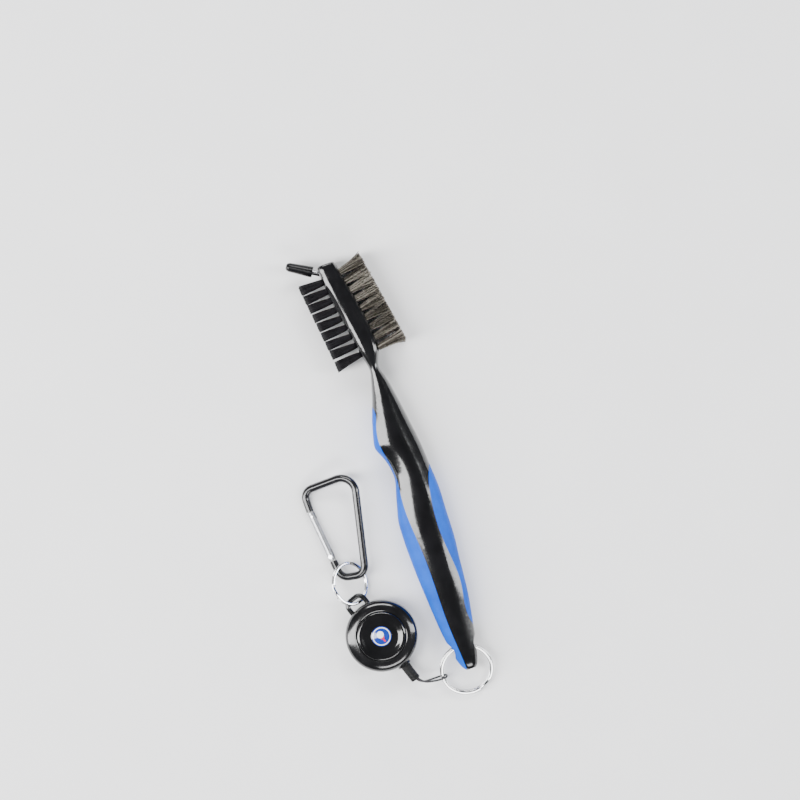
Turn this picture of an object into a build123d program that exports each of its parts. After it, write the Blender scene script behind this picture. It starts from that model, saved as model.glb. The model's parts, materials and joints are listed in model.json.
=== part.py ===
"""Club groove brush with a retractable lanyard: brush, capped groove pick, key ring, reel and carabiner.

The brush lies on its side on the plane Z = 0. +Y runs along the brush from the tail to the tip of the head,
+X is the wire side, -X the nylon side and the lanyard, and +Z is up. Everything is in millimetres.
"""
from build123d import *
import math
import os

# ---------------------------------------------------------------- driving dimensions
HEAD_TOP = 200.0                 # length of the brush
MID_Z = 8.0                      # mid-plane of the brush above the surface it lies on
GRIP_SKIN = 1.8                  # thickness of the soft grip strips

TUFT_ROWS_Z = (-4.6, 0.0, 4.6)   # three tufts across the head's depth
TUFT_HOLE_DEPTH = 3.3
TUFT_NECK = 1.0                  # straight run above the hole before a tuft fans out
TUFT_FIT = 0.03                  # room between a tuft and its hole
NYLON_COUNT = 9
NYLON_FIRST_Y = 192.6
NYLON_PITCH = 4.7
NYLON_R_ROOT = 1.3
NYLON_R_TIP = 1.75
NYLON_LEAN = 2.5                 # degrees towards the tail
WIRE_COUNT = 9
WIRE_FIRST_Y = 194.3
WIRE_PITCH = 4.85
WIRE_R_ROOT = 1.5
WIRE_R_TIP = 2.2
WIRE_LEAN = 12.0                 # degrees towards the tip of the head

SCALLOP_R = 230.0
SCALLOP_Y = 176.0
SCALLOP_LEAN = 42.0              # degrees from upright
SCALLOP_DEPTH = 2.05

PICK_R = 1.3
PICK_ROOT = (-5.1, 197.0)
PICK_ANGLE = 148.5               # degrees from +X in plan
PICK_BURIED = 3.4
PICK_OUT = 13.4
CAP_START = 3.3
CAP_LENGTH = 12.6
CAP_R_MOUTH = 2.55
CAP_R_TIP = 2.0

TAIL_HOLE_Y = 10.4
TAIL_HOLE_R = 2.5
TAIL_MOUTH_R = 3.9
KEY_RING_R = 12.6
KEY_RING_WIRE = (1.7, 1.15)      # radial width and height of one turn
KEY_RING_X = -2.5
KEY_RING_TILT = 17.46            # degrees down from the tail hole to the surface
KEY_RING_REACH = 10.5            # from the hole's axis to the centre of the ring

REEL_CENTRE = (-34.6, 28.4)
REEL_TURN = 18.5                 # degrees; the lug points along the reel's own +Y
REEL_R = 16.8
REEL_WALL = 1.4
REEL_SPLIT_Z = 2.6
CORD_Z = 6.0
CORD_R = 0.5
COIL_R = (8.95, 12.1)
COIL_Z = (4.35, 7.65)
MOUTH_R = 15.25                  # where the cord leaves the case, from the reel's axis
STOPPER_R = 2.35
STOPPER_FROM = 15.6
STOPPER_TO = 26.2

LUG_Z = 7.0
LUG_BAR_R = 1.2
LUG_REACH = 21.6
LUG_HALF = 4.4
STRAP_RING_R = 10.4
STRAP_RING_WIRE = (1.4, 0.8)
STRAP_RING_AZIMUTH = 88.0        # degrees from +X in plan, from the lug to the ring's centre
STRAP_RING_RISE = 3.0
STRAP_RING_TILT = 40.0
LUG_HOLE_R = 19.0                # where the ring passes through the lug

HOOK_ORIGIN = (-39.9, 57.3, 4.06)
HOOK_TURN = -9.5
HOOK_PITCH = 2.0
HOOK_ROLL = -15.0
HOOK_R = 1.8
GATE_R = 1.65
GATE_HINGE = (-6.9, 12.5)
GATE_NOSE = (-13.1, 34.6)
TANG = 1.1                       # thickness of the hook's two tangs
FORK_GAP = 1.3
TURN_GAP = 0.05                  # between the two turns of a split ring


# ---------------------------------------------------------------- helpers
def turned(points):
    """A solid turned about Z from a closed outline of (radius, height) points."""
    outline = Polyline(*[(r, 0, z) for r, z in points], close=True)
    return revolve(make_face(outline), Axis.Z, 360)


def turned_smooth(corners, curve):
    """A solid turned about Z from an outline of straight runs closed by one smooth curve."""
    outline = [Polyline(*[(r, 0, z) for r, z in corners]), Spline(*[(r, 0, z) for r, z in curve])]
    return revolve(make_face(outline), Axis.Z, 360)


def rod_between(start, end, radius):
    """A plain round rod from one point to another."""
    span = Vector(*end) - Vector(*start)
    return Plane(origin=start, z_dir=span) * Cylinder(
        radius, span.length, align=(Align.CENTER, Align.CENTER, Align.MIN)
    )


def swept(path, radius):
    """A round section swept along a path of straight runs and tangent arcs."""
    section = Plane(origin=path @ 0, z_dir=path % 0) * Circle(radius)
    return sweep(section, path=path)


def on_axis(radius, start, end):
    """A cylinder about Z between two heights."""
    return Pos(0, 0, start) * Cylinder(radius, end - start, align=(Align.CENTER, Align.CENTER, Align.MIN))


def tube(outer, inner, start, end):
    return on_axis(outer, start, end) - on_axis(inner, start - 1, end + 1)


def split_ring(outer, wire, split_at):
    """Two turns of flat wire, one above the other, joined by a short ramp, about Z and across Z = 0."""
    width, height = wire
    middle = outer - width / 2
    lift = (height + TURN_GAP) / 2
    ramp = 30.0

    def section(angle, z):
        at = Rot(0, 0, angle) * Pos(middle, 0, z) * Rot(90, 0, 0)
        return at * RectangleRounded(width, height, height * 0.28)

    lower = revolve(section(split_at, -lift), Axis.Z, 360 - ramp)
    upper = revolve(section(split_at, lift), Axis.Z, 360 - ramp)
    steps = 5
    climb = [
        section(split_at - ramp + ramp * k / steps, -lift + 2 * lift * (k / steps) ** 2 * (3 - 2 * k / steps))
        for k in range(steps + 1)
    ]
    return lower + loft(climb) + upper


# ---------------------------------------------------------------- handle and head
# y, left edge, right edge, depth, squareness of the section
HANDLE = (
    (0.0, -2.5, 2.1, 4.2, 2.2),
    (1.2, -3.7, 3.1, 6.0, 2.2),
    (4.2, -5.1, 4.2, 7.8, 2.3),
    (10.0, -6.5, 5.7, 9.4, 2.4),
    (22.8, -8.2, 8.2, 11.4, 2.4),
    (35.0, -9.0, 10.3, 13.2, 2.4),
    (50.8, -9.8, 11.9, 15.0, 2.4),
    (62.0, -10.0, 13.1, 15.7, 2.4),
    (73.0, -9.7, 13.5, 16.0, 2.4),
    (85.0, -7.0, 14.0, 15.8, 2.4),
    (96.5, -4.2, 13.4, 15.2, 2.4),
    (104.5, -5.4, 13.0, 15.2, 2.4),
    (111.4, -8.1, 12.3, 15.6, 2.5),
    (120.7, -6.1, 11.1, 15.2, 2.5),
    (130.0, -3.0, 9.9, 14.6, 2.6),
    (139.3, 0.0, 8.4, 14.0, 2.8),
    (147.6, 1.8, 6.4, 13.8, 3.4),
    (152.5, 0.7, 8.3, 15.0, 4.2),
    (158.0, -0.2, 9.6, 15.76, 4.6),
    (198.6, -5.3, 3.5, 15.76, 4.6),
    (199.6, -5.0, 3.2, 15.3, 4.6),
    (HEAD_TOP, -4.4, 2.6, 14.2, 4.4),
)
STATION_STEP = 4.0


def slopes(xs, ys):
    """Slopes at each point of a table that keep a curve through it from overshooting."""
    steps = [(b - a) / (q - p) for a, b, p, q in zip(ys, ys[1:], xs, xs[1:])]
    inner = [0.0 if a * b <= 0 else 2 * a * b / (a + b) for a, b in zip(steps, steps[1:])]
    return [steps[0], *inner, steps[-1]]


def between(xs, ys, at):
    """The value of a smooth curve through a table, at one place."""
    k = max(i for i in range(len(xs) - 1) if xs[i] <= at or i == 0)
    width = xs[k + 1] - xs[k]
    t = (at - xs[k]) / width
    m = slopes(xs, ys)
    start = ys[k] * (1 + 2 * t) * (1 - t) ** 2 + m[k] * width * t * (1 - t) ** 2
    return start + ys[k + 1] * t * t * (3 - 2 * t) + m[k + 1] * width * t * t * (t - 1)


def handle_station(y):
    columns = list(zip(*HANDLE))
    return [y] + [between(columns[0], column, y) for column in columns[1:]]


def station_places():
    """Evenly spaced places along the handle, with closer ones at its rounded ends."""
    count = round((198.6 - 8.0) / STATION_STEP)
    even = [8.0 + (198.6 - 8.0) * k / count for k in range(count + 1)]
    return [0.0, 1.2, 4.2, *even, 199.6, HEAD_TOP]


def handle_section(y, left, right, depth, square, shrink=0.0):
    """A closed rounded section across the handle."""
    half_x = (right - left) / 2 - shrink
    half_z = depth / 2 - shrink
    count = 20
    points = []
    for k in range(count):
        turn = 2 * math.pi * k / count
        c, s = math.cos(turn), math.sin(turn)
        x = (left + right) / 2 + half_x * math.copysign(abs(c) ** (2 / square), c)
        z = MID_Z + half_z * math.copysign(abs(s) ** (2 / square), s)
        points.append((x, y, z))
    return Wire([Spline(*points, periodic=True)])


def handle_blank(shrink=0.0, start=0.0, end=HEAD_TOP):
    places = [y for y in station_places() if start <= y <= end]
    return Solid.make_loft([handle_section(*handle_station(y), shrink=shrink) for y in places])


def grip_region(edge, side_x):
    """A tall prism on one side of a strip's inner edge."""
    inner = Spline(*edge)
    outer = Polyline(edge[-1], (side_x, edge[-1][1]), (side_x, edge[0][1]), edge[0])
    return extrude(make_face([inner, outer]), 4 * MID_Z)


BACK_EDGE = (
    (-2.4, -3.0), (-2.6, 6.0), (-3.6, 22.8), (-3.4, 45.0), (-3.9, 64.0), (-4.4, 84.0),
    (-3.4, 96.5), (-4.4, 105.0), (-5.4, 111.4), (-4.2, 120.7), (-2.6, 126.0), (-3.0, 130.5),
)
FRONT_EDGE = (
    (9.6, 15.0), (7.2, 20.5), (6.9, 29.0), (8.6, 40.0), (8.4, 50.8), (7.5, 64.0), (8.4, 78.8),
    (10.6, 89.5), (14.6, 98.5),
)


def head_left(y):
    """The nylon side's edge of the head in plan."""
    return -0.2 - (y - 158.0) * 5.1 / 40.6


def head_right(y):
    """The wire side's edge of the head in plan."""
    return 9.6 - (y - 158.0) * 6.1 / 40.6


def tuft_places(count, first_y, pitch, edge, heading):
    """The root and direction of each tuft, head tip first, three across the depth."""
    direction = Vector(math.cos(math.radians(heading)), math.sin(math.radians(heading)), 0)
    for k in range(count):
        y = first_y - k * pitch
        for row in TUFT_ROWS_Z:
            yield Vector(edge(y), y, MID_Z + row), direction


def tufts(places, r_root, r_tip, lengths):
    """Each tuft is one bundle with its folded root in its hole, notched for the staple that holds it."""
    bundles, anchors, holes = [], [], []
    for k, (root, direction) in enumerate(places):
        at = Plane(origin=root, x_dir=(0, 0, 1), z_dir=direction)
        length = lengths[0] + (lengths[1] - lengths[0]) * (k // 3) / 8
        up = (Align.CENTER, Align.CENTER, Align.MIN)
        staple = Pos(0, 0, -TUFT_HOLE_DEPTH) * Box(2 * r_root * 0.92, 0.35, 1.5, align=up)
        fan = Pos(0, 0, TUFT_NECK) * Cone(r_root, r_tip, length - TUFT_NECK, align=up)
        bundles.append(at * (on_axis(r_root, -TUFT_HOLE_DEPTH, TUFT_NECK) + fan - staple))
        anchors.append(at * staple)
        holes.append(at * on_axis(r_root + TUFT_FIT, -TUFT_HOLE_DEPTH, TUFT_NECK + 1.0))
    return bundles, anchors, holes


def brush():
    blank = handle_blank()
    inner = handle_blank(GRIP_SKIN, 4.0, 140.0)
    back_zone = grip_region(BACK_EDGE, -25.0)
    front_zone = grip_region(FRONT_EDGE, 25.0)
    tail_hole = Pos(0, TAIL_HOLE_Y, MID_Z) * Rot(0, 90, 0) * tail_bore()
    nylon = tufts(
        list(tuft_places(NYLON_COUNT, NYLON_FIRST_Y, NYLON_PITCH, head_left, 180 + NYLON_LEAN)),
        NYLON_R_ROOT, NYLON_R_TIP, (12.0, 12.7),
    )
    wire = tufts(
        list(tuft_places(WIRE_COUNT, WIRE_FIRST_Y, WIRE_PITCH, head_right, WIRE_LEAN)),
        WIRE_R_ROOT, WIRE_R_TIP, (12.2, 12.8),
    )
    spike_hole = PICK_PLANE * on_axis(PICK_R, -PICK_BURIED, 4.0)
    grip_back = (blank - inner) & back_zone
    grip_front = (blank - inner) & front_zone
    core = blank - (back_zone - inner) - (front_zone - inner)
    core = core - tail_hole - nylon[2] - wire[2] - spike_hole - head_scallops()
    return {
        "handle_core": core,
        "grip_back": grip_back - tail_hole,
        "grip_front": grip_front,
        "nylon_tufts": Compound(children=nylon[0]),
        "nylon_anchors": Compound(children=nylon[1]),
        "wire_tufts": Compound(children=wire[0]),
        "wire_anchors": Compound(children=wire[1]),
    }


def head_scallops():
    """The shallow lens-shaped facets along the nylon side of the head, above and below."""
    lean = math.radians(SCALLOP_LEAN)
    depth = HANDLE[-3][3] / 2
    facets = []
    for side in (1, -1):
        edge = Vector(head_left(SCALLOP_Y), SCALLOP_Y, MID_Z + side * depth)
        inward = Vector(math.sin(lean), 0.126 * math.sin(lean), -side * math.cos(lean))
        centre = edge + inward * (SCALLOP_DEPTH - SCALLOP_R)
        facets.append(Pos(*centre) * Sphere(SCALLOP_R))
    return facets


def tail_bore():
    """The hole across the tail for the key ring, widening at both mouths."""
    half, flare = 5.9, 2.6
    outline = [(0, -12), (TAIL_MOUTH_R + 3.4, -12), (TAIL_MOUTH_R, -half), (TAIL_HOLE_R, -half + flare)]
    outline += [(TAIL_HOLE_R, half - flare), (TAIL_MOUTH_R, half), (TAIL_MOUTH_R + 3.4, 12), (0, 12)]
    return turned(outline)


# ---------------------------------------------------------------- groove pick
PICK_DIR = Vector(math.cos(math.radians(PICK_ANGLE)), math.sin(math.radians(PICK_ANGLE)), 0)
PICK_PLANE = Plane(origin=(*PICK_ROOT, MID_Z), x_dir=(0, 0, 1), z_dir=PICK_DIR)


def pick():
    point = 3.6
    spike = turned([
        (0, -PICK_BURIED), (PICK_R, -PICK_BURIED), (PICK_R, PICK_OUT - point),
        (0.25, PICK_OUT - 0.2), (0, PICK_OUT),
    ])
    end = CAP_START + CAP_LENGTH
    bore = PICK_R + 0.03
    cap = turned([
        (bore, CAP_START), (CAP_R_MOUTH, CAP_START), (CAP_R_MOUTH, CAP_START + 1.2),
        (CAP_R_TIP + 0.1, end - 1.5), (CAP_R_TIP - 0.35, end - 0.5), (CAP_R_TIP - 1.0, end), (0, end),
        (0, PICK_OUT + 0.4), (0.6, PICK_OUT - 0.1), (bore, PICK_OUT - point + 0.2),
    ])
    return {"groove_pick": PICK_PLANE * spike, "pick_cap": PICK_PLANE * cap}


# ---------------------------------------------------------------- key ring and cord end
TILT = math.radians(KEY_RING_TILT)
TAIL_AXIS = Vector(KEY_RING_X, TAIL_HOLE_Y, MID_Z)
KEY_RING_CENTRE = Vector(
    KEY_RING_X,
    TAIL_HOLE_Y - KEY_RING_REACH * math.cos(TILT),
    MID_Z - KEY_RING_REACH * math.sin(TILT),
)
KEY_RING_UP = Vector(0, -math.sin(TILT), math.cos(TILT))
KEY_RING_ALONG = Vector(0, math.cos(TILT), math.sin(TILT))
LOOP_POINT = KEY_RING_CENTRE - Vector(KEY_RING_R - KEY_RING_WIRE[0] / 2, 0, 0)

REEL = Location((*REEL_CENTRE, 0)) * Rot(0, 0, REEL_TURN)
MOUTH_DIR = Vector(math.sin(math.radians(REEL_TURN)), -math.cos(math.radians(REEL_TURN)), 0)
REEL_AXIS_POINT = Vector(*REEL_CENTRE, CORD_Z)


def key_ring():
    plane = Plane(origin=KEY_RING_CENTRE, x_dir=(1, 0, 0), z_dir=KEY_RING_UP)
    return {"key_ring": plane * split_ring(KEY_RING_R, KEY_RING_WIRE, 318.0)}


def cord_end():
    """The stopper at the reel's mouth and the doubled cord from it round the key ring."""
    strand_gap = 0.56
    beta = math.radians(35)
    across = Vector(-MOUTH_DIR.Y, MOUTH_DIR.X, 0)
    offset = (across * math.cos(beta) + Vector(0, 0, math.sin(beta))) * strand_gap
    half_way = (STOPPER_FROM + STOPPER_TO) / 2
    bend_at = STOPPER_TO + 2.2
    bight = 2.05
    inside = LOOP_POINT + Vector(bight, 0, 0)
    before = LOOP_POINT - Vector(3.4, 0, 0)

    def along(distance):
        return REEL_AXIS_POINT + MOUTH_DIR * distance

    lift = KEY_RING_UP * bight
    route = [
        along(half_way) + offset, along(bend_at) + offset, before + lift, inside + lift,
        inside - lift, before - lift, along(bend_at) - offset, along(half_way) - offset,
    ]
    path = FilletPolyline(*route, radius=[3.0, 3.5, 2.0, 2.0, 3.5, 3.0])
    loop = swept(path, CORD_R)
    print("cord_loop length", round(path.length, 2))
    lead = rod_between(along(MOUTH_R + 0.1), along(half_way - 0.1), CORD_R)
    sleeve = rod_between(along(STOPPER_FROM), along(STOPPER_TO), STOPPER_R)
    for end in (STOPPER_FROM, STOPPER_TO):
        rim = sleeve.edges().filter_by(GeomType.CIRCLE).sort_by_distance(along(end))[0]
        sleeve = fillet(rim, 0.6)
    sleeve = sleeve - rod_between(along(STOPPER_FROM - 1), along(half_way), CORD_R)
    for side in (offset, -offset):
        sleeve = sleeve - rod_between(along(half_way - 0.05) + side, along(STOPPER_TO + 1) + side, CORD_R)
    return {"cord_loop": loop, "cord_lead": lead, "cord_stopper": sleeve}


# ---------------------------------------------------------------- reel
ROOF_Z = (10.2, 11.2)
FACE_R = 11.4
ARBOR_R = 1.6
SCREW_R = 0.62
SCREW_CIRCLE = 13.9
SCREW_ANGLES = (-15.0, 105.0, 225.0)


def screw_places():
    return [Rot(0, 0, a) * Pos(SCREW_CIRCLE, 0, 0) for a in SCREW_ANGLES]


def reel_covers():
    inner = REEL_R - REEL_WALL
    floor = 1.5
    rear = turned([
        (0, 0), (REEL_R - 1, 0), (REEL_R, 1), (REEL_R, REEL_SPLIT_Z), (inner, REEL_SPLIT_Z), (inner, floor),
        (0, floor),
    ])
    rear += on_axis(ARBOR_R, floor, ROOF_Z[0] - 0.1) + on_axis(3.0, floor, floor + 0.42)
    rear -= Pos(0, 0, 6.6) * Box(0.4, 2 * ARBOR_R + 1, 7.0)
    shoulder = [
        (REEL_R, 9.2), (REEL_R - 0.3, 10.4), (REEL_R - 1.3, 11.6), (REEL_R - 3.0, 12.4), (REEL_R - 4.8, 12.7),
    ]
    front = turned_smooth([
        shoulder[-1], (FACE_R + 0.35, 12.6), (FACE_R + 0.35, ROOF_Z[1]), (0, ROOF_Z[1]), (0, ROOF_Z[0]),
        (inner - 1.4, ROOF_Z[0]), (inner, ROOF_Z[0] - 1.4), (inner, REEL_SPLIT_Z), (REEL_R, REEL_SPLIT_Z),
        shoulder[0],
    ], shoulder)
    lug_path = FilletPolyline(
        (-LUG_HALF, REEL_R - 1.3, LUG_Z), (-LUG_HALF, LUG_REACH, LUG_Z), (LUG_HALF, LUG_REACH, LUG_Z),
        (LUG_HALF, REEL_R - 1.3, LUG_Z), radius=3.0,
    )
    front += swept(lug_path, LUG_BAR_R)
    mouth_axis = Pos(0, 0, CORD_Z) * Rot(90, 0, 0)
    front += mouth_axis * on_axis(3.3, 14.6, 17.7)
    front -= mouth_axis * on_axis(0.85, 13.0, MOUTH_R + 1)
    front -= mouth_axis * on_axis(STOPPER_R + 0.2, MOUTH_R, 20.0)
    screws = []
    for at in screw_places():
        front += at * on_axis(1.4, floor, ROOF_Z[0] + 0.2)
        front -= at * on_axis(SCREW_R, 0, 8.6)
        screw = turned([(0, 0.2), (1.2, 0.2), (1.2, 0.35), (SCREW_R, 0.95), (SCREW_R, 8.0), (0, 8.4)])
        screws.append(at * (screw - Pos(0, 0, 0.2) * (Box(1.7, 0.3, 0.6) + Box(0.3, 1.7, 0.6))))
        rear -= at * turned([(0, -1), (1.25, -1), (1.25, 0.36), (SCREW_R, 0.99), (SCREW_R, 3.0), (0, 3.0)])
    return {
        "reel_rear_cover": rear,
        "reel_front_cover": front,
        "case_screws": Compound(children=screws),
    }


def reel_front_trim():
    dish = [
        (FACE_R, 12.6), (FACE_R - 0.35, 13.15), (FACE_R - 1.1, 13.4), (FACE_R - 2.1, 13.25), (FACE_R - 3.3, 12.95),
        (FACE_R - 4.6, 12.86), (5.6, 12.85),
    ]
    face = turned_smooth([
        dish[-1], (5.0, 12.85), (5.0, 12.4), (0, 12.4), (0, ROOF_Z[1]), (FACE_R, ROOF_Z[1]), dish[0],
    ], dish)
    rim, rise, top = 4.85, 0.7, 13.9
    dome_r = (rim**2 + rise**2) / (2 * rise)
    badge = on_axis(rim, 12.4, top) & (Pos(0, 0, top - dome_r) * Sphere(dome_r))
    return {"reel_face": face, "face_badge": badge}


def spiral_strip(inner_r, pitch, thick, half_turns):
    """A flat spiral of half circles whose centres step between two places half a pitch apart."""
    edges = []
    for extra in (0.0, thick):
        for k in range(half_turns):
            centre = pitch / 2 * (k % 2)
            radius = inner_r + k * pitch / 2 + extra
            side = 1 - 2 * (k % 2)
            top = (centre, side * radius)
            edges.append(ThreePointArc((centre + side * radius, 0), top, (centre - side * radius, 0)))
    inner_arcs, outer_arcs = edges[:half_turns], edges[half_turns:]
    start = Line(inner_arcs[0] @ 0, outer_arcs[0] @ 0)
    end = Line(inner_arcs[-1] @ 1, outer_arcs[-1] @ 1)
    return make_face([start, *inner_arcs, end, *outer_arcs])


def reel_inside():
    bore = ARBOR_R + 0.08
    cup_r = COIL_R[0] - 0.05
    spool = tube(cup_r, bore, 2.0, 2.9) + tube(cup_r, cup_r - 0.9, 2.0, 9.2)
    spool += tube(12.3, cup_r - 0.5, 3.3, 4.3) + tube(12.3, cup_r - 0.5, 7.7, 8.7)
    cover = tube(cup_r, bore, 9.2, 9.8)
    low, high = COIL_Z
    step = (high - low) / 3
    coil_edge = [(COIL_R[0], low), (COIL_R[1] - 0.35, low)]
    for k in range(3):
        base = low + k * step
        coil_edge += [(COIL_R[1], base + 0.3 * step), (COIL_R[1], base + 0.7 * step)]
        coil_edge += [(COIL_R[1] - 0.35, base + step)]
    coil = turned(coil_edge + [(COIL_R[0], high)])
    spring = Pos(0, 0, 3.1) * extrude(spiral_strip(ARBOR_R + 0.1, 0.9, 0.2, 12), 5.8)
    tangent_r = COIL_R[1] + CORD_R + 0.12
    corner = 14.2
    lean = math.acos(tangent_r / corner)
    leaves_coil = (tangent_r * math.sin(lean), -tangent_r * math.cos(lean), CORD_Z)
    path = FilletPolyline(leaves_coil, (0, -corner, CORD_Z), (0, -MOUTH_R, CORD_Z), radius=1.2)
    run = swept(path, CORD_R)
    print("cord_run length", round(path.length, 2))
    return {"spool": spool, "spring_cover": cover, "cord_coil": coil, "power_spring": spring, "cord_run": run}


# ---------------------------------------------------------------- strap ring
LUG_SLOT = REEL * Pos(0, LUG_HOLE_R, LUG_Z)
SLOT_POINT = LUG_SLOT.position
STRAP_OUT = Vector(
    math.cos(math.radians(STRAP_RING_AZIMUTH)) * math.cos(math.radians(STRAP_RING_RISE)),
    math.sin(math.radians(STRAP_RING_AZIMUTH)) * math.cos(math.radians(STRAP_RING_RISE)),
    math.sin(math.radians(STRAP_RING_RISE)),
)
STRAP_SIDE = STRAP_OUT.cross(Vector(0, 0, 1)).normalized().rotate(Axis((0, 0, 0), STRAP_OUT), STRAP_RING_TILT)
STRAP_RING_MEAN = STRAP_RING_R - STRAP_RING_WIRE[0] / 2
STRAP_CENTRE = SLOT_POINT + STRAP_OUT * STRAP_RING_MEAN


def strap_ring():
    plane = Plane(origin=STRAP_CENTRE, x_dir=STRAP_SIDE, z_dir=STRAP_SIDE.cross(STRAP_OUT))
    return {"strap_ring": plane * split_ring(STRAP_RING_R, STRAP_RING_WIRE, 200.0)}


# ---------------------------------------------------------------- carabiner
HOOK = Location(HOOK_ORIGIN) * Rot(0, 0, HOOK_TURN) * Rot(HOOK_PITCH, 0, 0) * Rot(0, HOOK_ROLL, 0)
GATE_SPAN = Vector(*GATE_NOSE) - Vector(*GATE_HINGE)
GATE_ANGLE = math.degrees(math.atan2(GATE_SPAN.Y, GATE_SPAN.X)) - 90
GATE = Location((*GATE_HINGE, 0)) * Rot(0, 0, GATE_ANGLE)     # +Y runs up the gate from its hinge
GATE_END = 22.6
LATCH_AT = 20.7
ROD_END_LOW = -2.35
ROD_END_HIGH = 23.1


def carabiner():
    low_end = (GATE * Pos(0, ROD_END_LOW, 0)).position
    high_end = (GATE * Pos(0, ROD_END_HIGH, 0)).position
    heel = (GATE * Pos(0, -11.05, 0)).position
    path = FilletPolyline(
        high_end, (-14.9, 44.6, 0), (10.9, 49.6, 0), (8.0, 1.85, 0), (heel.X, 1.85, 0), low_end,
        radius=[4.5, 7.0, 5.0, 5.0],
    )
    body = swept(path, HOOK_R)
    hinge_tang = Pos(0, ROD_END_LOW / 2 - 0.3, 0) * Box(2.8, -ROD_END_LOW + 0.6, TANG) + Cylinder(1.4, TANG)
    hinge_tang -= Cylinder(0.6, 2 * TANG)
    nose_low = 19.2
    nose_tang = Pos(0, (nose_low + ROD_END_HIGH + 0.6) / 2, 0) * Box(2.2, ROD_END_HIGH + 0.6 - nose_low, TANG)
    nose_tang -= Pos(1.5, LATCH_AT, 0) * Box(4.0, 1.25, 2 * TANG)
    body += GATE * hinge_tang + GATE * nose_tang

    lying = Rot(-90, 0, 0)                                     # turns +Z into +Y
    gate = lying * on_axis(GATE_R, 0, GATE_END) + Cylinder(GATE_R, 2 * GATE_R)
    gate = gate & (lying * on_axis(GATE_R, -GATE_R, GATE_END))
    gate -= lying * on_axis(1.0, -GATE_R - 1, 17.2)
    gate -= Pos(0, 0.6, 0) * Box(5, 5.2, FORK_GAP)
    gate -= Pos(0, 18.9 + 3, 0) * Box(5, 6, FORK_GAP)
    gate -= Cylinder(0.63, 5)
    gate -= Pos(0, LATCH_AT, 0) * Cylinder(0.45, 5)
    rivet = Cylinder(0.6, 2 * GATE_R + 0.1)
    for side in (1, -1):
        rivet += Pos(0, 0, side * (GATE_R + 0.17)) * Cylinder(0.95, 0.24)
    latch = Pos(0, LATCH_AT, 0) * Cylinder(0.45, 2 * GATE_R - 0.5)
    plunger = lying * (on_axis(0.9, 1.46, 3.6) + on_axis(0.5, 3.6, 5.6))
    coil = Helix(pitch=0.9, height=12.6, radius=0.72)
    wire = Plane(origin=coil @ 0, z_dir=coil % 0) * Circle(0.13)
    spring = lying * Pos(0, 0, 3.9) * sweep(wire, path=coil)
    return {
        "carabiner_body": HOOK * body,
        "carabiner_gate": HOOK * GATE * gate,
        "gate_rivet": HOOK * GATE * rivet,
        "gate_latch_pin": HOOK * GATE * latch,
        "gate_plunger": HOOK * GATE * plunger,
        "gate_spring": HOOK * GATE * spring,
    }


# ---------------------------------------------------------------- all of it, set on its origin
def build():
    nodes = {}
    nodes.update(brush())
    nodes.update(pick())
    nodes.update(key_ring())
    nodes.update(cord_end())
    for name, shape in {**reel_covers(), **reel_front_trim(), **reel_inside()}.items():
        nodes[name] = REEL * shape
    nodes.update(strap_ring())
    nodes.update(carabiner())
    return nodes


def origin_shift(nodes):
    """What moves the middle of the whole object's underside, already at Z = 0, to the origin."""
    boxes = [shape.bounding_box() for shape in nodes.values()]
    low = Vector(min(b.min.X for b in boxes), min(b.min.Y for b in boxes), 0)
    high = Vector(max(b.max.X for b in boxes), max(b.max.Y for b in boxes), 0)
    return (low + high) * -0.5


NODES = build()
SHIFT = origin_shift(NODES)
os.makedirs("parts", exist_ok=True)
for node_name, node_shape in NODES.items():
    export_step(Pos(*SHIFT) * node_shape, f"parts/{node_name}.step")
print("moved by", SHIFT)
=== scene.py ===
"""Golf club groove brush with its lanyard: the visual model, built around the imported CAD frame.

Everything is in metres, in the frame of the CAD model: +Y along the brush towards the head's tip, +X towards
the wire bristles, +Z up from the surface that it lies on.
"""
import json
import math
import random
from types import SimpleNamespace

import bpy
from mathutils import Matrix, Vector


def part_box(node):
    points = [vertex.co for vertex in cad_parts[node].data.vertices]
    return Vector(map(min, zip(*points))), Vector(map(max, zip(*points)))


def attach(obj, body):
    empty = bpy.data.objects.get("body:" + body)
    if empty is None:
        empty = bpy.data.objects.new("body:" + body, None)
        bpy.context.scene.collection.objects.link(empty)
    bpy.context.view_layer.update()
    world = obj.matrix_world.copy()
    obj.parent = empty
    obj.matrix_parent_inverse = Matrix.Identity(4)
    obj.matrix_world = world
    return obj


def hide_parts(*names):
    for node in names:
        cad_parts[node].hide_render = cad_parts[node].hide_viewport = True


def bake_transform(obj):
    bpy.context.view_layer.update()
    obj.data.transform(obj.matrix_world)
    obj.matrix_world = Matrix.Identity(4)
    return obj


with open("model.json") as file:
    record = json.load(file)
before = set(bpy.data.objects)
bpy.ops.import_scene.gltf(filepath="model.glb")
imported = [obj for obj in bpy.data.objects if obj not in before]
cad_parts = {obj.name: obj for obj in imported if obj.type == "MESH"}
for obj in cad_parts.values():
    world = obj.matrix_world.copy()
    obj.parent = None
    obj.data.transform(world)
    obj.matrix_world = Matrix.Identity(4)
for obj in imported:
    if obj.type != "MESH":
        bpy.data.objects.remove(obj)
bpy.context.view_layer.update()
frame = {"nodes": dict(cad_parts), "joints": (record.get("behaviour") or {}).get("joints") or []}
random.seed(20)

NODES = frame["nodes"]
JOINTS = {joint["name"]: joint for joint in frame["joints"]}
MM = 0.001
UP = Vector((0, 0, 1))
SAME_POINT = 1e-6            # metres: a mesh's points closer than this are one

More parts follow.
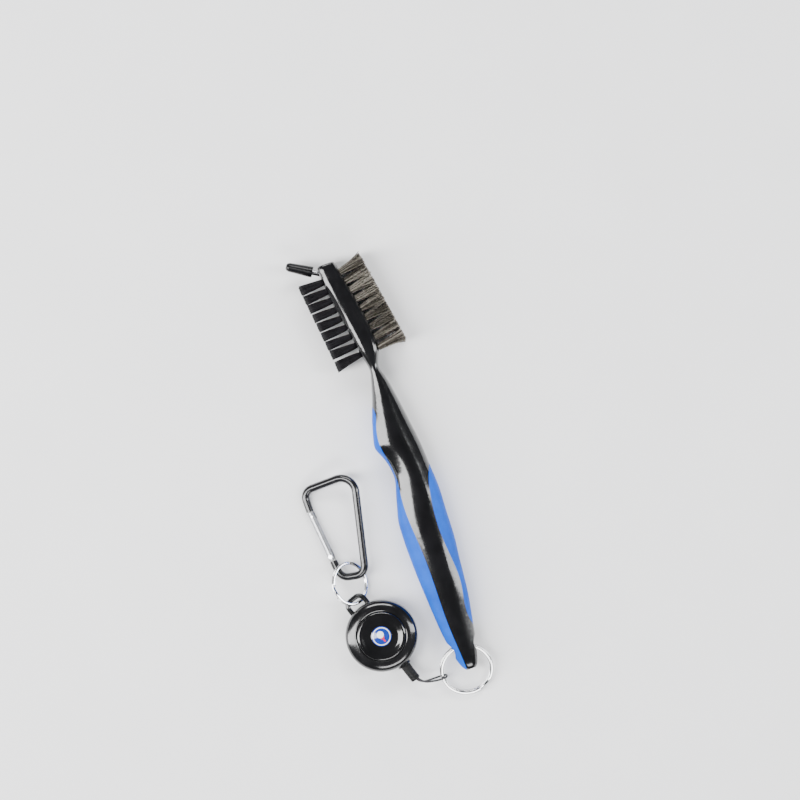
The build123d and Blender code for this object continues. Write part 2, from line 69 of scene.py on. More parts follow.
# ---------------------------------------------------------------- sizes, in millimetres
NYLON_HEADING = 182.5        # degrees from +X in plan
WIRE_HEADING = 12.0
NYLON = SimpleNamespace(
    radius=0.15, per_tuft=44, steps=5, sides=5,
    stray=0.14,              # how far a tip wanders from its place
    crimp=0.03, wave=9.0,    # depth and length of its waves
    tip_grow=1.4,            # a tuft's free end against that of its solid
    end_spread=0.9,          # how far the row nearest the handle spreads towards it
)
WIRE = SimpleNamespace(
    radius=0.19, per_tuft=50, steps=16, sides=4, stray=0.6, crimp=0.3, wave=1.8, tip_grow=1.3, end_spread=0.6,
)
END_SKIN = 0.4               # how near a tuft's end its points count as the end's
PER_ROW = 3
UNRULY = (0.08, 2.2)         # share of the filaments that wander more, and how much more
SHORTEST = 0.965             # shortest filament against the longest
WANDER = (0.3, 1.0, 0.8)     # how much of the stray goes along the tuft, across it and up
WAVE_SPREAD = (0.85, 1.2)    # shortest and longest wave of a filament against its style's
TIP_SHORT = 0.1              # how much shorter the filaments are than their tuft
SKIN = 1.1                   # filament radii kept free inside a tuft's surface
FILL = 0.97                  # share of the rest that the filaments fill
FLARE = 0.8                  # a tuft widens evenly at 1, and sooner below it
ROOT_SKIPPED = 2.4           # the buried part of a tuft's root that isn't drawn
CORD_R = 0.5
BRAID_PITCH = 1.15
BRAID_STRANDS = 4
BRAID_SIDES = 16             # round the cord's mesh
BRAID_STEP = 0.14            # along it
BRAID_DEPTH = 0.06           # against the cord's radius
STRAND_GAP = 0.56            # from the middle of the doubled cord to each strand
STRAND_TURN = 35.0
STOPPER_FROM = 15.6          # from the reel's axis
STOPPER_TO = 26.2
STOPPER_R = 2.35
STOPPER_CORNER = 0.75
STOPPER_RIM = 1.0            # plain band at each end, outside the knurl
KNURL_PITCH = 1.55
KNURL_STARTS = 6
KNURL_DEPTH = 0.15
KNURL_FADE = 0.5             # the length over which the knurl reaches its depth
CORD_HALF_WAY = 20.9         # where the doubled cord and the lead meet in the stopper
BEND_AT = 28.4
BIGHT = 2.05                 # half the cord's loop where it goes round the key ring
BEFORE_RING = 3.4
MOUTH_R = 15.25              # where the cord leaves the case, from the reel's axis
LEAD_GAP = 0.3               # between the doubled cord's ends and the lead's
INSIDE_MOUTH = 1.6           # how far inside the case the lead ends
BADGE_R = 4.85
TURN_GAP = 0.05              # between the two turns of a split ring
WIRE_SQUARENESS = 0.72       # 1 is an ellipse and 0 a rectangle
WIRE_END_TAPER = (0.72, 0.93, 1.0)
KEY_RING_R = 12.6
KEY_RING_WIRE = (1.7, 1.15)
KEY_RING_REACH = 10.5        # from the tail hole's axis to the ring's centre
STRAP_RING_R = 10.4
STRAP_RING_WIRE = (1.4, 0.8)
STRAP_AZIMUTH = 88.0         # degrees from +X in plan, from the lug to the strap ring's centre
STRAP_RISE = 3.0
GATE_HEADING = -26.0         # degrees in plan
FLOOR_HALF = 8000.0


# ---------------------------------------------------------------- material building
class Shader:
    """A node material under construction, with one Principled shader."""

    def __init__(self, name):
        self.material = bpy.data.materials.new(name)
        self.material.use_nodes = True
        self.tree = self.material.node_tree
        self.tree.nodes.clear()
        self.output = self.tree.nodes.new("ShaderNodeOutputMaterial")
        self.bsdf = self.tree.nodes.new("ShaderNodeBsdfPrincipled")
        self.link(self.bsdf.outputs[0], self.output.inputs["Surface"])
        coords = self.tree.nodes.new("ShaderNodeTexCoord")
        self.place = coords.outputs["Object"]
        self.height = None

    def link(self, source, target):
        self.tree.links.new(source, target)

    def node(self, kind, **settings):
        made = self.tree.nodes.new(kind)
        for key, value in settings.items():
            setattr(made, key, value)
        return made

    def set(self, **values):
        for key, value in values.items():
            socket = self.bsdf.inputs[key.replace("_", " ")]
            socket.default_value = value
        return self

    def mapped(self, scale=(1, 1, 1), turn=(0, 0, 0)):
        made = self.node("ShaderNodeMapping")
        made.inputs["Scale"].default_value = scale
        made.inputs["Rotation"].default_value = turn
        self.link(self.place, made.inputs["Vector"])
        return made.outputs[0]

    def noise(self, size_mm, detail=3.0, roughness=0.55, at=None):
        made = self.node("ShaderNodeTexNoise")
        made.inputs["Scale"].default_value = 1000.0 / size_mm
        made.inputs["Detail"].default_value = detail
        made.inputs["Roughness"].default_value = roughness
        self.link(at or self.place, made.inputs["Vector"])
        return made.outputs[0]

    def cells(self, size_mm, feature="F1", at=None):
        made = self.node("ShaderNodeTexVoronoi", feature=feature)
        made.inputs["Scale"].default_value = 1000.0 / size_mm
        self.link(at or self.place, made.inputs["Vector"])
        return made.outputs["Distance"]

    def ramp(self, source, stops):
        made = self.node("ShaderNodeValToRGB")
        elements = made.color_ramp.elements
        while len(elements) < len(stops):
            elements.new(0.5)
        for element, (place, colour) in zip(elements, stops):
            element.position = place
            element.color = (*colour, 1)
        self.link(source, made.inputs[0])
        return made.outputs[0]

    def range(self, source, low, high, from_low=0.3, from_high=0.7):
        made = self.node("ShaderNodeMapRange")
        made.inputs["From Min"].default_value = from_low
        made.inputs["From Max"].default_value = from_high
        made.inputs["To Min"].default_value = low
        made.inputs["To Max"].default_value = high
        self.link(source, made.inputs["Value"])
        return made.outputs[0]

    def math(self, operation, a, b=0.0):
        made = self.node("ShaderNodeMath", operation=operation)
        for socket, value in zip(made.inputs, (a, b)):
            if isinstance(value, (int, float)):
                socket.default_value = value
            else:
                self.link(value, socket)
        return made.outputs[0]

    def mix(self, factor, a, b):
        made = self.node("ShaderNodeMix", data_type="RGBA")
        for socket, value in ((made.inputs[0], factor), (made.inputs[6], a), (made.inputs[7], b)):
            if isinstance(value, tuple):
                socket.default_value = (*value, 1)
            else:
                self.link(value, socket)
        return made.outputs[2]

    def colour(self, source):
        self.link(source, self.bsdf.inputs["Base Color"])
        return self

    def rough(self, source):
        self.link(source, self.bsdf.inputs["Roughness"])
        return self

    def bump(self, source, depth_mm, strength=1.0):
        made = self.node("ShaderNodeBump")
        made.inputs["Distance"].default_value = depth_mm * MM
        made.inputs["Strength"].default_value = strength
        self.link(source, made.inputs["Height"])
        if self.height is not None:
            self.link(self.height, made.inputs["Normal"])
        self.height = made.outputs[0]
        self.link(self.height, self.bsdf.inputs["Normal"])
        return self


def moulded(name, dark, light, rough=(0.16, 0.3), grain_mm=0.25, grain_depth=0.004, **values):
    """Moulded plastic or rubber: blotchy tone, a fine grain and faint handling marks."""
    made = Shader(name)
    tone = made.noise(9.0, 4.0)
    made.colour(made.ramp(tone, [(0.35, dark), (0.65, light)]))
    smears = made.noise(3.0, 5.0, 0.65, made.mapped(scale=(1.0, 0.25, 1.0)))
    made.rough(made.range(smears, *rough))
    made.bump(made.noise(grain_mm, 2.0), grain_depth)
    return made.set(**values)


def metal(name, dark, light, rough, along=(1.0, 0.04, 1.0), turn=(0, 0, 0), depth=0.002):
    """Metal with fine drawn or brushed lines, smudges and small scratches."""
    made = Shader(name)
    lines = made.noise(0.16, 3.0, 0.6, made.mapped(scale=along, turn=turn))
    smudge = made.noise(4.0, 4.0, 0.6)
    tone = made.math("ADD", made.math("MULTIPLY", lines, 0.5), made.math("MULTIPLY", smudge, 0.5))
    made.colour(made.ramp(tone, [(0.3, dark), (0.7, light)]))
    made.rough(made.range(tone, *rough))
    made.bump(lines, depth)
    return made.set(Metallic=1.0)


def core_plastic():
    """Glossy moulded plastic with hairline scratches along it."""
    made = moulded("core_black", (0.0012, 0.0012, 0.0016), (0.004, 0.004, 0.0048), (0.13, 0.2), 0.5, 0.003)
    stretched = made.mapped(scale=(1.0, 0.22, 1.0), turn=(0.2, 0.1, 0.35))
    scratches = made.cells(5.0, "DISTANCE_TO_EDGE", stretched)
    hair = made.range(scratches, 0.0, 1.0, 0.0, 0.012)
    made.bump(hair, 0.002, 0.4)
    return made.set(Coat_Weight=0.45, Coat_Roughness=0.08, Specular_IOR_Level=0.5)


def grip_rubber():
    """Soft blue rubber with a fine pebbled skin and a little dust."""
    made = Shader("grip_blue")
    tone = made.noise(14.0, 4.0, 0.6)
    dust = made.noise(1.1, 5.0, 0.7)
    base = made.ramp(tone, [(0.3, (0.0, 0.06, 0.41)), (0.7, (0.0, 0.092, 0.56))])
    made.colour(made.mix(made.range(dust, 0.0, 0.08, 0.45, 0.75), base, (0.003, 0.15, 0.64)))
    made.rough(made.range(dust, 0.36, 0.55))
    made.bump(made.cells(0.62), 0.05, 0.55)
    made.bump(made.noise(0.2, 2.0), 0.008)
    return made.set(Specular_IOR_Level=0.12)


def by_strand(made, low, high):
    """A tone that differs from one separate strand to the next."""
    strands = made.node("ShaderNodeNewGeometry")
    return made.range(strands.outputs["Random Per Island"], low, high, 0.0, 1.0)


def bristle_nylon():
    """Black nylon filaments, each a slightly different tone."""
    made = Shader("nylon_black")
    streak = made.noise(0.5, 3.0, 0.6, made.mapped(scale=(0.1, 1.0, 1.0)))
    tone = made.math("ADD", made.math("MULTIPLY", streak, 0.5), by_strand(made, 0.0, 0.5))
    made.colour(made.ramp(tone, [(0.25, (0.0015, 0.0013, 0.002)), (0.75, (0.008, 0.007, 0.0095))]))
    made.rough(made.range(streak, 0.24, 0.4))
    made.bump(streak, 0.01, 0.4)
    return made.set(Specular_IOR_Level=0.24)


def bristle_wire():
    """Dull steel wires, from nearly black to bright."""
    made = Shader("wire_steel")
    patch = made.noise(1.6, 3.0, 0.6)
    fine = made.noise(0.3, 3.0, 0.6, made.mapped(scale=(0.3, 1.0, 1.0)))
    tone = made.math("ADD", made.math("MULTIPLY", patch, 0.5), by_strand(made, 0.0, 0.5))
    made.colour(made.ramp(tone, [
        (0.28, (0.012, 0.0105, 0.009)), (0.5, (0.105, 0.094, 0.078)), (0.72, (0.38, 0.352, 0.305)),
    ]))
    made.rough(made.range(fine, 0.26, 0.42))
    made.bump(fine, 0.006, 0.5)
    return made.set(Metallic=1.0)


def cord_braid():
    """Black braided nylon cord with a slight fuzz."""
    made = Shader("cord_black")
    fibre = made.noise(0.14, 3.0, 0.7)
    patch = made.noise(2.2, 3.0)
    tone = made.math("ADD", made.math("MULTIPLY", fibre, 0.6), made.math("MULTIPLY", patch, 0.4))
    made.colour(made.ramp(tone, [(0.32, (0.006, 0.006, 0.007)), (0.7, (0.034, 0.034, 0.038))]))
    made.rough(made.range(fibre, 0.55, 0.8))
    made.bump(fibre, 0.03, 0.6)
    return made.set(Sheen_Weight=0.3, Sheen_Roughness=0.4)


def textured_black(name, cell_mm, depth):
    """Matt black plastic with a pebbled skin."""
    made = moulded(name, (0.0015, 0.0015, 0.0018), (0.005, 0.005, 0.0056), (0.32, 0.48), 0.16, 0.006)
    made.bump(made.cells(cell_mm), depth, 0.6)
    return made.set(Specular_IOR_Level=0.25)


def anodised(name):
    """Black anodised aluminium, paler where it has worn."""
    made = Shader(name)
    fine = made.noise(0.22, 3.0, 0.6)
    wear = made.noise(3.2, 6.0, 0.72)
    made.colour(made.ramp(wear, [
        (0.3, (0.004, 0.004, 0.005)), (0.66, (0.010, 0.010, 0.012)), (0.8, (0.03, 0.03, 0.033)),
    ]))
    made.rough(made.range(fine, 0.16, 0.28))
    made.bump(fine, 0.003)
    return made.set(Metallic=0.15, Coat_Weight=0.4, Coat_Roughness=0.1, Specular_IOR_Level=0.5)


def badge_resin(centre, heading):
    """A domed badge: a white ring on blue, with a plain white ball on a small red tee.

    Its drawing's sizes are against the badge's radius.
    """
    made = Shader("badge_face")
    turned = made.node("ShaderNodeMapping", vector_type="TEXTURE")
    turned.inputs["Location"].default_value = centre
    turned.inputs["Rotation"].default_value = (0, 0, heading)
    made.link(made.place, turned.inputs["Vector"])
    parts = made.node("ShaderNodeSeparateXYZ")
    made.link(turned.outputs[0], parts.inputs[0])
    x = made.math("DIVIDE", parts.outputs[0], BADGE_R * MM)
    y = made.math("DIVIDE", parts.outputs[1], BADGE_R * MM)

    def both(a, b):
        return made.math("MULTIPLY", a, b)

    def distance(px, py):
        dx = made.math("SUBTRACT", x, px)
        dy = made.math("SUBTRACT", y, py)
        return made.math("SQRT", made.math("ADD", both(dx, dx), both(dy, dy)))

    def inside(value, limit):
        soft = 0.012
        return made.range(value, 1.0, 0.0, limit - soft, limit + soft)

    def within(value, low, high):
        return both(inside(value, high), made.math("SUBTRACT", 1.0, inside(value, low)))

    ball_height, ball_r = 0.2, 0.34
    band = (0.79, 0.87)
    rim_from = 0.955
    stem_half, stem_span = 0.075, (-0.62, -0.12)
    cup_half, cup_span = 0.2, (-0.24, -0.13)

    out = distance(0.0, 0.0)
    ball = inside(distance(0.0, ball_height), ball_r)
    dimples = made.cells(0.42)
    ball_white = made.mix(made.range(dimples, 0.0, 0.22, 0.32, 0.12), (0.86, 0.87, 0.88), (0.55, 0.58, 0.66))
    width = made.math("ABSOLUTE", x)
    stem = both(inside(width, stem_half), within(y, *stem_span))
    cup = both(inside(width, cup_half), within(y, *cup_span))
    flake = made.noise(0.5, 3.0)
    blue = made.ramp(flake, [(0.3, (0.008, 0.028, 0.22)), (0.7, (0.014, 0.045, 0.32))])
    colour = made.mix(within(out, *band), blue, (0.82, 0.83, 0.86))
    colour = made.mix(made.math("MAXIMUM", stem, cup), colour, (0.62, 0.02, 0.03))
    colour = made.mix(ball, colour, ball_white)
    made.colour(made.mix(inside(out, rim_from), (0.01, 0.01, 0.011), colour))
    made.rough(made.range(made.noise(1.2, 4.0), 0.08, 0.16))
    made.bump(made.noise(0.9, 2.0), 0.003)
    return made.set(Coat_Weight=0.6, Coat_Roughness=0.05)


def paint(node, made):
    """Gives a CAD node that stays in view its finished material."""
    shape = NODES[node]
    if not shape.material_slots:
        shape.data.materials.append(made.material)
    for slot in shape.material_slots:
        slot.material = made.material


# ---------------------------------------------------------------- mesh building
def new_piece(name, verts, faces, made, body):
    mesh = bpy.data.meshes.new(name)
    mesh.from_pydata([tuple(v) for v in verts], [], faces)
    mesh.validate()
    mesh.update()
    mesh.materials.append(made.material)
    mesh.polygons.foreach_set("use_smooth", [True] * len(mesh.polygons))
    piece = bpy.data.objects.new(name, mesh)
    bpy.context.scene.collection.objects.link(piece)
    if body:
        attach(piece, body)
    return piece


def frames_along(points):
    """Each point of a line with two directions across it, carried along without twisting."""
    places = []
    last = len(points) - 1
    side = UP
    for k, point in enumerate(points):
        tangent = (points[min(k + 1, last)] - points[max(k - 1, 0)]).normalized()
        side = (side - tangent * side.dot(tangent)).normalized()
        places.append((point, side, tangent.cross(side)))
    return places


def add_tube(verts, faces, points, sides, radius_at):
    """Adds one closed tube to a mesh in the making. radius_at(ring, angle) is its radius."""
    first = len(verts)
    rings = frames_along(points)
    for k, (point, side, over) in enumerate(rings):
        for s in range(sides):
            angle = 2 * math.pi * s / sides
            verts.append(point + (side * math.cos(angle) + over * math.sin(angle)) * radius_at(k, angle))
    for k in range(len(rings) - 1):
        low = first + k * sides
        for s in range(sides):
            nxt = (s + 1) % sides
            faces.append((low + s, low + nxt, low + sides + nxt, low + sides + s))
    faces.append(tuple(first + s for s in reversed(range(sides))))
    top = first + (len(rings) - 1) * sides
    faces.append(tuple(top + s for s in range(sides)))


def middle_and_radius(points):
    """The middle of a round end's points, and its radius, which its height gives."""
    low = Vector([min(point[i] for point in points) for i in range(3)])
    high = Vector([max(point[i] for point in points) for i in range(3)])
    return (low + high) / 2, (high.z - low.z) / 2


def tuft_cores(node, heading):
    """The buried end, the free end, and the radius at each, of every separate tuft of a CAD node."""
    mesh = NODES[node].data
    key_of = [tuple(round(c / SAME_POINT) for c in vert.co) for vert in mesh.vertices]
    points = {}
    for key, vert in zip(key_of, mesh.vertices):
        points.setdefault(key, vert.co.copy())
    parent = {key: key for key in points}

    def root(key):
        while parent[key] != key:
            parent[key] = parent[parent[key]]
            key = parent[key]
        return key

    for edge in mesh.edges:
        a, b = root(key_of[edge.vertices[0]]), root(key_of[edge.vertices[1]])
        if a != b:
            parent[a] = b
    groups = {}
    for key, co in points.items():
        groups.setdefault(root(key), []).append(co)
    cores = []
    for group in groups.values():
        reach = [co.dot(heading) for co in group]
        low, high = min(reach) + END_SKIN * MM, max(reach) - END_SKIN * MM
        start, radius_near = middle_and_radius([co for co, r in zip(group, reach) if r < low])
        end, radius_far = middle_and_radius([co for co, r in zip(group, reach) if r > high])
        cores.append((start, end, radius_near, radius_far))
    return sorted(cores, key=lambda core: (round(core[0].y, 5), round(core[0].z, 5)))


def spread(count, index):
    """Even places over a disc of radius one."""
    radius = math.sqrt((index + 0.5) / count)
    angle = index * math.pi * (3 - math.sqrt(5))
    return radius * math.cos(angle), radius * math.sin(angle)


def strand(tuft, style, spot):
    """The points along one filament, which stands at its own spot in a tuft."""
    u, v = spot
    along, across, up = WANDER
    wander = Vector((random.uniform(-along, along), random.gauss(0, across), random.gauss(0, up)))
    wander = wander * style.stray * MM
    if random.random() < UNRULY[0]:
        wander *= UNRULY[1]
    wave = style.wave * random.uniform(*WAVE_SPREAD) * MM
    phase = random.uniform(0, 2 * math.pi)
    roll = random.uniform(0, 2 * math.pi)
    swing = (UP * math.cos(roll) + tuft.over * math.sin(roll)) * style.crimp * MM
    reach = tuft.run * random.uniform(SHORTEST, 1.0) - TIP_SHORT * MM
    points = []
    for step in range(style.steps + 1):
        t = step / style.steps
        straight_root = min(1, 3 * t)
        room = tuft.r_near + (tuft.r_far - tuft.r_near) * t**FLARE - style.radius * MM * SKIN
        point = tuft.begin + tuft.axis * reach * t + (UP * u + tuft.over * v) * room * FILL
        point += (wander + tuft.lean) * t * t
        point += swing * math.sin(2 * math.pi * reach * t / wave + phase) * straight_root
        point.y -= tuft.spread * (0.5 - 0.5 * v) * t
        point.z = max(point.z, style.radius * MM)
        points.append(point)
    return points


def filaments(node, heading_deg, style, made):
    """Separate filaments in the place of a CAD node's solid tufts."""
    heading = Vector((math.cos(math.radians(heading_deg)), math.sin(math.radians(heading_deg)), 0))
    verts, faces = [], []
    for order, (start, end, r_near, r_far) in enumerate(tuft_cores(node, heading)):
        nearest_handle = order < PER_ROW
        axis = (end - start).normalized()
        tuft = SimpleNamespace(
            axis=axis,
            over=axis.cross(UP).normalized(),
            begin=start + axis * ROOT_SKIPPED * MM,
            run=(end - start).length - ROOT_SKIPPED * MM,
            r_near=r_near,
            r_far=r_far * style.tip_grow,
            spread=style.end_spread * MM if nearest_handle else 0.0,
            lean=Vector((0, random.uniform(-1, 1), random.uniform(-0.5, 0.5))) * style.stray * 0.6 * MM,
        )
        tuft.lean.y -= tuft.spread
        for k in range(style.per_tuft):
            points = strand(tuft, style, spread(style.per_tuft, k))
            add_tube(verts, faces, points, style.sides, lambda ring, angle: style.radius * MM)
    piece = new_piece(f"{node}_filaments", verts, faces, made, "brush")
    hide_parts(node)


def nurbs_line(points, samples):
    """Points along the smooth NURBS line that a route controls."""
    curve = bpy.data.curves.new("line_maker", "CURVE")
    curve.dimensions = "3D"
    spline = curve.splines.new("NURBS")
    spline.points.add(len(points) - 1)
    for control, point in zip(spline.points, points):
        control.co = (*point, 1)
    spline.order_u = 3
    spline.use_endpoint_u = True
    spline.resolution_u = samples
    holder = bpy.data.objects.new("line_maker", curve)
    mesh = bpy.data.meshes.new_from_object(holder)
    line = [vert.co.copy() for vert in mesh.vertices]
    bpy.data.objects.remove(holder)
    bpy.data.meshes.remove(mesh)
    bpy.data.curves.remove(curve)
    return line


def evenly(line, step):
    """The same line with points an even step apart."""
    points, spare = [line[0].copy()], 0.0
    for a, b in zip(line, line[1:]):
        gap = (b - a).length
        at = step - spare
        while at <= gap:
            points.append(a.lerp(b, at / gap))
            at += step
        spare = gap - (at - step)
    return points + [line[-1].copy()]


def braided(verts, faces, points, step):
    """A round braid: strands crossing in a diamond pattern stand out from its surface."""
    turns = 2 * math.pi * step / (BRAID_PITCH * MM)

    def radius(ring, angle):
        weave = math.cos(BRAID_STRANDS * angle) * math.cos(turns * ring)
        return CORD_R * MM * (1 - BRAID_DEPTH + BRAID_DEPTH * weave)

    add_tube(verts, faces, points, BRAID_SIDES, radius)


# ---------------------------------------------------------------- bristles
filaments("nylon_tufts", NYLON_HEADING, NYLON, bristle_nylon())
filaments("wire_tufts", WIRE_HEADING, WIRE, bristle_wire())

# ---------------------------------------------------------------- cord, stopper, split rings
reel_axis = Vector(JOINTS["spool_spin"]["pos_m"])
mouth_dir = -Vector(JOINTS["reel_pull"]["axis"]).normalized()
loop_point = Vector(JOINTS["cord_swing"]["pos_m"])
ring_along = Vector(JOINTS["cord_swing"]["axis"]).normalized()
ring_up = Vector((1, 0, 0)).cross(ring_along).normalized()
braid = cord_braid()


def from_reel(distance_mm):
    """A place on the cord's line out of the reel."""
    return reel_axis + mouth_dir * distance_mm * MM


def cord_loop():
    """The doubled cord, from inside the stopper round the key ring's wire and back."""
    across = Vector((-mouth_dir.y, mouth_dir.x, 0))
    turn = math.radians(STRAND_TURN)
    offset = (across * math.cos(turn) + UP * math.sin(turn)) * STRAND_GAP * MM
    lift = ring_up * BIGHT * MM
    inside = loop_point + Vector((BIGHT * MM, 0, 0))
    before = loop_point - Vector((BEFORE_RING * MM, 0, 0))
    route = [
        from_reel(CORD_HALF_WAY) + offset, from_reel(BEND_AT) + offset, before + lift, inside + lift,
        inside - lift, before - lift, from_reel(BEND_AT) - offset, from_reel(CORD_HALF_WAY) - offset,
    ]
    step = BRAID_STEP * MM
    points = evenly(nurbs_line(route, 24), step)
    verts, faces = [], []
    braided(verts, faces, points, step)
    piece = new_piece("cord_loop_braid", verts, faces, braid, "cord_end")
    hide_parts("cord_loop")


def cord_lead():
    """The cord from the stopper into the reel, drawn straight and fixed in place, though the real cord pays
    out as the reel is pulled.
    """
    start, end = from_reel(CORD_HALF_WAY - LEAD_GAP), from_reel(MOUTH_R - INSIDE_MOUTH)
    count = 60
    points = [start.lerp(end, k / count) for k in range(count + 1)]
    verts, faces = [], []
    braided(verts, faces, points, (end - start).length / count)
    piece = new_piece("cord_lead_braid", verts, faces, braid, None)
    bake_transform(piece)
    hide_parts("cord_lead")


def cord_stopper():
    """The stopper's sleeve, with a diamond knurl and rounded ends."""
    rings, sides = 88, 64
    start, end = from_reel(STOPPER_FROM), from_reel(STOPPER_TO)
    length = STOPPER_TO - STOPPER_FROM
    slant = 2 * math.pi / KNURL_PITCH
    points = [start.lerp(end, k / rings) for k in range(rings + 1)]

    def radius(ring, angle):
        at = length * ring / rings
        to_end = min(at, length - at)
        past_corner = max(0.0, STOPPER_CORNER - to_end)
        rounding = STOPPER_CORNER - math.sqrt(STOPPER_CORNER**2 - past_corner**2)
        knurled = min(1.0, max(0.0, (to_end - STOPPER_RIM) / KNURL_FADE))
        one_way = math.sin((KNURL_STARTS * angle + slant * at) / 2)
        other_way = math.sin((KNURL_STARTS * angle - slant * at) / 2)
        groove = KNURL_DEPTH * (1 - math.sqrt(abs(one_way * other_way)))
        return (STOPPER_R - rounding - knurled * groove) * MM

    verts, faces = [], []
    add_tube(verts, faces, points, sides, radius)
    piece = new_piece("cord_stopper_knurled", verts, faces, STOPPER_BLACK, "cord_end")
    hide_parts("cord_stopper")


def split_ring(node, body, centre, across, up, outer, wire, split_at):
    """Two turns of rounded flat wire joined by a short climb, with softened ends."""
    width, height = wire
    middle = outer - width / 2
    lift = (height + TURN_GAP) / 2
    along = up.cross(across)
    total, climb_from, climb_to, step = 690.0, 330.0, 360.0, 2.5
    count = round(total / step)
    sides = 24
    verts, faces = [], []
    for k in range(count + 1):
        turn = total * k / count
        climb = min(1.0, max(0.0, (turn - climb_from) / (climb_to - climb_from)))
        z = -lift + 2 * lift * climb**2 * (3 - 2 * climb)
        angle = math.radians(split_at + turn)
        outward = across * math.cos(angle) + along * math.sin(angle)
        size = WIRE_END_TAPER[min(k, count - k, 2)]
        for s in range(sides):
            c, n = math.cos(2 * math.pi * s / sides), math.sin(2 * math.pi * s / sides)
            u = math.copysign(abs(c) ** WIRE_SQUARENESS, c) * width / 2 * size
            v = math.copysign(abs(n) ** WIRE_SQUARENESS, n) * height / 2 * size
            verts.append(centre + (outward * (middle + u) + up * (z + v)) * MM)
    for k in range(count):
        low = k * sides
        for s in range(sides):
            nxt = (s + 1) % sides
            faces.append((low + s, low + nxt, low + sides + nxt, low + sides + s))
    faces.append(tuple(reversed(range(sides))))
    faces.append(tuple(count * sides + s for s in range(sides)))
    piece = new_piece(f"{node}_wire", verts, faces, RING_STEEL, body)
    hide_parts(node)


STOPPER_BLACK = textured_black("stopper_black", 0.3, 0.03)
RING_STEEL = metal(
    "ring_chrome", (0.60, 0.60, 0.61), (0.90, 0.90, 0.90), (0.07, 0.17), (0.3, 0.3, 1.0), depth=0.0015,
)
cord_loop()
cord_lead()
cord_stopper()
tail_axis = Vector(JOINTS["key_ring_swing"]["pos_m"])
key_centre = tail_axis - ring_along * KEY_RING_REACH * MM
split_ring("key_ring", "ring", key_centre, Vector((1, 0, 0)), ring_up, KEY_RING_R, KEY_RING_WIRE, 318.0)
strap_side = Vector(JOINTS["strap_ring_swing"]["axis"]).normalized()
azimuth, rise = math.radians(STRAP_AZIMUTH), math.radians(STRAP_RISE)
strap_out = Vector((math.cos(azimuth) * math.cos(rise), math.sin(azimuth) * math.cos(rise), math.sin(rise)))
strap_mean_r = (STRAP_RING_R - STRAP_RING_WIRE[0] / 2) * MM
strap_centre = Vector(JOINTS["strap_ring_swing"]["pos_m"]) + strap_out * strap_mean_r
strap_up = strap_side.cross(strap_out)
split_ring("strap_ring", "link", strap_centre, strap_side, strap_up, STRAP_RING_R, STRAP_RING_WIRE, 200.0)

# ---------------------------------------------------------------- finishes on the CAD nodes
paint("handle_core", core_plastic())
grip = grip_rubber()
for node in ("grip_back", "grip_front"):
    paint(node, grip)
staple = metal("staple_steel", (0.35, 0.33, 0.28), (0.6, 0.58, 0.5), (0.3, 0.45))
for node in ("nylon_anchors", "wire_anchors"):
    paint(node, staple)
paint("groove_pick", metal(
    "pick_steel", (0.24, 0.24, 0.25), (0.50, 0.50, 0.51), (0.16, 0.3), (0.08, 0.6, 1.0),
))
paint("pick_cap", moulded(
    "cap_rubber_black", (0.0012, 0.0012, 0.0016), (0.0035, 0.0035, 0.0042), (0.2, 0.32), 0.35, 0.012,
    Specular_IOR_Level=0.3,
))
shell = moulded(
    "reel_shell_black", (0.002, 0.002, 0.0024), (0.006, 0.006, 0.0068), (0.12, 0.22), 0.8, 0.004,
    Coat_Weight=0.5, Coat_Roughness=0.06,
)
for node in ("reel_rear_cover", "reel_front_cover"):
    paint(node, shell)
paint("reel_face", moulded(
    "reel_disc_black", (0.0015, 0.0015, 0.0018), (0.004, 0.004, 0.0045), (0.07, 0.15), 1.0, 0.003,
    Coat_Weight=0.6, Coat_Roughness=0.04,
))
badge_low, badge_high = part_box("face_badge")
badge_centre = (badge_low + badge_high) / 2
badge_turn = math.atan2(-mouth_dir.y, -mouth_dir.x) - math.pi / 2
paint("face_badge", badge_resin(badge_centre, badge_turn))
paint("case_screws", metal("screw_steel", (0.25, 0.25, 0.26), (0.5, 0.5, 0.52), (0.2, 0.35)))
inner_plastic = moulded("spool_grey", (0.36, 0.36, 0.34), (0.46, 0.46, 0.44), (0.4, 0.55), 0.3, 0.006)
for node in ("spool", "spring_cover"):
    paint(node, inner_plastic)
for node in ("cord_coil", "cord_run"):
    paint(node, braid)
blued = metal("spring_blued", (0.13, 0.15, 0.22), (0.3, 0.33, 0.4), (0.22, 0.36))
for node in ("power_spring", "gate_spring"):
    paint(node, blued)
paint("carabiner_body", anodised("clip_black"))
paint("carabiner_gate", metal(
    "gate_silver", (0.27, 0.275, 0.29), (0.5, 0.505, 0.52), (0.28, 0.42), (1.0, 0.05, 1.0),
    (0, 0, math.radians(GATE_HEADING)), 0.003,
))
rivet = metal("rivet_bright", (0.5, 0.5, 0.51), (0.8, 0.8, 0.8), (0.15, 0.28), (0.7, 0.7, 0.7))
for node in ("gate_rivet", "gate_latch_pin", "gate_plunger"):
    paint(node, rivet)


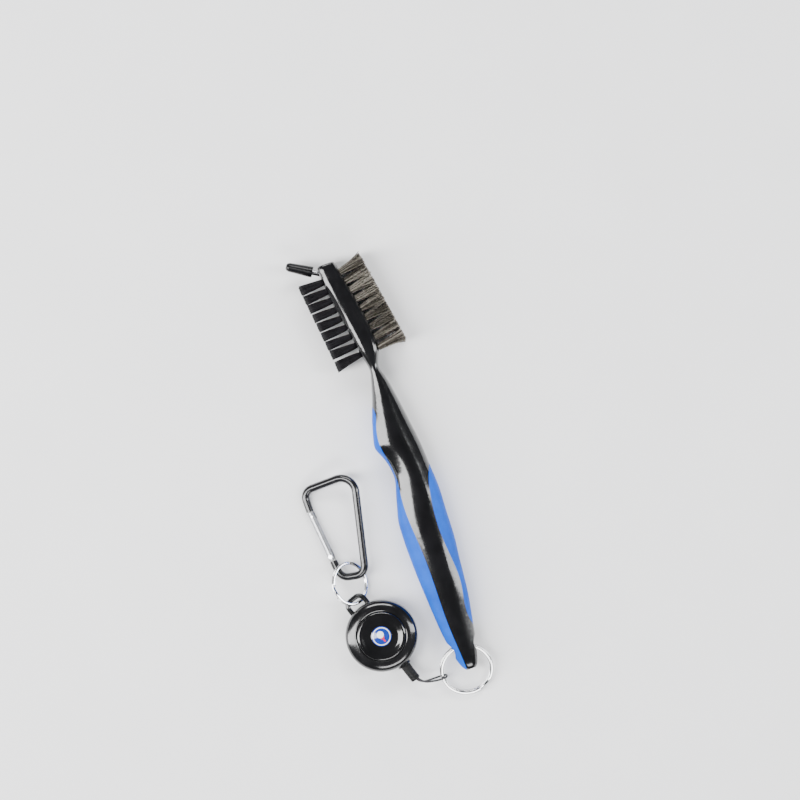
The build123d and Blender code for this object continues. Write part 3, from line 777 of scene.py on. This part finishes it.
# ---------------------------------------------------------------- floor, light, camera
def floor():
    half = FLOOR_HALF * MM
    mesh = bpy.data.meshes.new("floor")
    corners = [(-half, -half, 0), (half, -half, 0), (half, half, 0), (-half, half, 0)]
    mesh.from_pydata(corners, [], [(0, 1, 2, 3)])
    made = Shader("floor_pale")
    made.colour(made.ramp(made.noise(60.0, 3.0), [(0.3, (0.88, 0.88, 0.885)), (0.7, (0.91, 0.91, 0.915))]))
    made.rough(made.range(made.noise(8.0, 3.0), 0.62, 0.72))
    mesh.materials.append(made.material)
    piece = bpy.data.objects.new("floor", mesh)
    bpy.context.scene.collection.objects.link(piece)


def softbox(name, place, size, watts, colour=(1, 1, 1)):
    """A rectangular light that faces the frame's origin."""
    light = bpy.data.lights.new(name, "AREA")
    light.shape = "RECTANGLE"
    light.size, light.size_y = size
    light.energy = watts
    light.color = colour
    lamp = bpy.data.objects.new(name, light)
    lamp.location = place
    lamp.rotation_euler = (Vector((0, 0, 0)) - Vector(place)).to_track_quat("-Z", "Y").to_euler()
    bpy.context.scene.collection.objects.link(lamp)


def world_light():
    world = bpy.data.worlds.new("studio")
    bpy.context.scene.world = world
    world.use_nodes = True
    background = world.node_tree.nodes["Background"]
    background.inputs["Color"].default_value = (0.93, 0.95, 1.0, 1)
    background.inputs["Strength"].default_value = 0.17


floor()
world_light()
softbox("left", (-1.05, 0.15, 0.95), (0.45, 1.9), 52.0)
softbox("right", (1.15, -0.25, 0.75), (0.3, 1.5), 20.0, (0.97, 0.985, 1.0))
softbox("top", (0.35, 1.35, 1.2), (1.3, 0.45), 27.0)
softbox("near", (0.0, -1.3, 1.1), (1.1, 0.45), 18.0)

PICTURE_UP = Vector((0.3368, 0.9416))    # the photograph's upward direction on the floor
VIEW_CENTRE = (0.0247, 0.0316)
VIEW_WIDTH = 0.3728
VIEW_PLANE = 0.008                       # the height at which the view is that wide
VIEW_DISTANCE = 1.6
SENSOR_WIDTH = 36.0
camera_data = bpy.data.cameras.new("camera")
camera_data.sensor_width = SENSOR_WIDTH
camera_data.lens = SENSOR_WIDTH * (VIEW_DISTANCE - VIEW_PLANE) / VIEW_WIDTH
camera = bpy.data.objects.new("camera", camera_data)
camera.location = (*VIEW_CENTRE, VIEW_DISTANCE)
camera.rotation_euler = (0, 0, -math.atan2(PICTURE_UP.x, PICTURE_UP.y))
bpy.context.scene.collection.objects.link(camera)
bpy.context.scene.camera = camera
